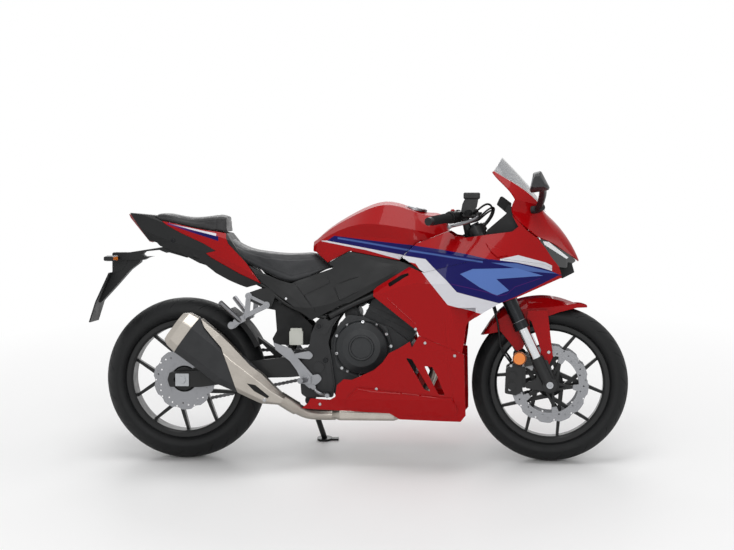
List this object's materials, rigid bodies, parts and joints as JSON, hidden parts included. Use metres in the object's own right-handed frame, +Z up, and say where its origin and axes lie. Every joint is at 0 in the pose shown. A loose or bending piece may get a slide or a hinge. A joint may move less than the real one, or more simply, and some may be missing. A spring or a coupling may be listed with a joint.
{
  "type": "sport motorcycle",
  "caption": "Fully faired sport motorcycle parked leaning on its side stand, with turning wheels, steering and folding stand.",
  "frame": {"origin": "on the ground under the middle of the parked motorcycle's bounding box", "axes": "+X forwards along the motorcycle, +Y to its left, +Z up; the motorcycle leans 10 degrees to its left"},
  "size_m": [2.0808, 0.7626, 1.1527],
  "materials": {
    "front_wheel": "satin black cast wheel",
    "front_tyre": "black rubber",
    "front_discs": "ground steel",
    "rear_wheel": "satin black cast wheel",
    "rear_tyre": "black rubber",
    "rear_disc": "ground steel",
    "rear_sprocket": "dark steel",
    "chain": "oiled steel",
    "fork_uppers": "dark anodised",
    "fork_sliders": "hard chrome",
    "fork_feet": "black cast",
    "front_axle": "zinc plated",
    "yokes": "black cast",
    "handlebars": "black",
    "grips": "black rubber",
    "levers": "silver",
    "front_mudguard": "gloss red",
    "front_calipers": "black",
    "front_reflectors": "orange reflector",
    "frame": "black tube",
    "pivot_plates": "black cast",
    "engine_block": "dark grey cast",
    "engine_covers": "dark grey cast",
    "radiator": "black core",
    "exhaust_pipes": "stainless",
    "muffler": "dark grey",
    "muffler_cap": "champagne silver",
    "muffler_shield": "champagne silver",
    "swingarm": "black box section",
    "rear_axle": "zinc plated",
    "rear_caliper": "black",
    "rear_hugger": "matte black",
    "rear_shock": "black",
    "inner_tray": "matte black",
    "brake_reservoir": "pale bottle",
    "fuel_tank": "gloss red with stripes",
    "rider_seat": "black vinyl",
    "pillion_seat": "black vinyl",
    "tail_cowls": "gloss red with stripes",
    "tail_core": "black",
    "tail_lamp": "red lens",
    "side_panels": "black",
    "upper_fairings": "gloss red and blue",
    "middle_fairings": "gloss red, white and blue",
    "lower_fairings": "gloss red",
    "windscreen": "smoke tinted",
    "nose_cowl": "gloss red",
    "headlamps": "dark lens",
    "nose_lip": "matte black",
    "mirrors": "dark grey",
    "dashboard": "matte black",
    "plate_bracket": "matte black",
    "rear_indicators": "black with amber lens",
    "rider_steps": "polished",
    "foot_controls": "polished",
    "pillion_steps": "polished",
    "side_stand": "black"
  },
  "bodies": {
    "chassis": {"chain": "chain", "frame": "frame", "pivot_plates": "pivot_plates", "engine_block": "engine_block", "engine_covers": "engine_covers", "radiator": "radiator", "exhaust_pipes": "exhaust_pipes", "muffler": "muffler", "muffler_cap": "muffler_cap", "muffler_shield": "muffler_shield", "swingarm": "swingarm", "rear_axle": "rear_axle", "rear_caliper": "rear_caliper", "rear_hugger": "rear_hugger", "rear_shock": "rear_shock", "inner_tray": "inner_tray", "brake_reservoir": "brake_reservoir", "fuel_tank": "fuel_tank", "rider_seat": "rider_seat", "pillion_seat": "pillion_seat", "tail_cowls": "tail_cowls", "tail_core": "tail_core", "tail_lamp": "tail_lamp", "side_panels": "side_panels", "upper_fairings": "upper_fairings", "middle_fairings": "middle_fairings", "lower_fairings": "lower_fairings", "windscreen": "windscreen", "nose_cowl": "nose_cowl", "headlamps": "headlamps", "nose_lip": "nose_lip", "mirrors": "mirrors", "dashboard": "dashboard", "plate_bracket": "plate_bracket", "rear_indicators": "rear_indicators", "rider_steps": "rider_steps", "foot_controls": "foot_controls", "pillion_steps": "pillion_steps"},
    "steering": {"fork_uppers": "fork_uppers", "fork_sliders": "fork_sliders", "fork_feet": "fork_feet", "front_axle": "front_axle", "yokes": "yokes", "handlebars": "handlebars", "grips": "grips", "levers": "levers", "front_mudguard": "front_mudguard", "front_calipers": "front_calipers", "front_reflectors": "front_reflectors"},
    "front_wheel": {"front_wheel": "front_wheel", "front_tyre": "front_tyre", "front_discs": "front_discs"},
    "rear_wheel": {"rear_wheel": "rear_wheel", "rear_tyre": "rear_tyre", "rear_disc": "rear_disc", "rear_sprocket": "rear_sprocket"},
    "side_stand": {"side_stand": "side_stand"}
  },
  "joints": [
    {"name": "steering_turn", "type": "hinge", "parent": "chassis", "child": "steering", "pos_m": [0.49809, -0.05511, 0.71245], "axis": [-0.4305, 0.1567, 0.8889], "range_deg": [-30, 30]},
    {"name": "front_wheel_spin", "type": "hinge", "parent": "steering", "child": "front_wheel", "pos_m": [0.7405, -0.12841, 0.2968], "axis": [0, 0.9848, -0.1736], "continuous": true},
    {"name": "rear_wheel_spin", "type": "hinge", "parent": "chassis", "child": "rear_wheel", "pos_m": [-0.6695, -0.12632, 0.30862], "axis": [0, 0.9848, -0.1736], "continuous": true},
    {"name": "side_stand_fold", "type": "hinge", "parent": "chassis", "child": "side_stand", "pos_m": [-0.1995, -0.00408, 0.19567], "axis": [-0.0781, 0.9327, 0.3521], "range_deg": [0, 88.4]}
  ]
}
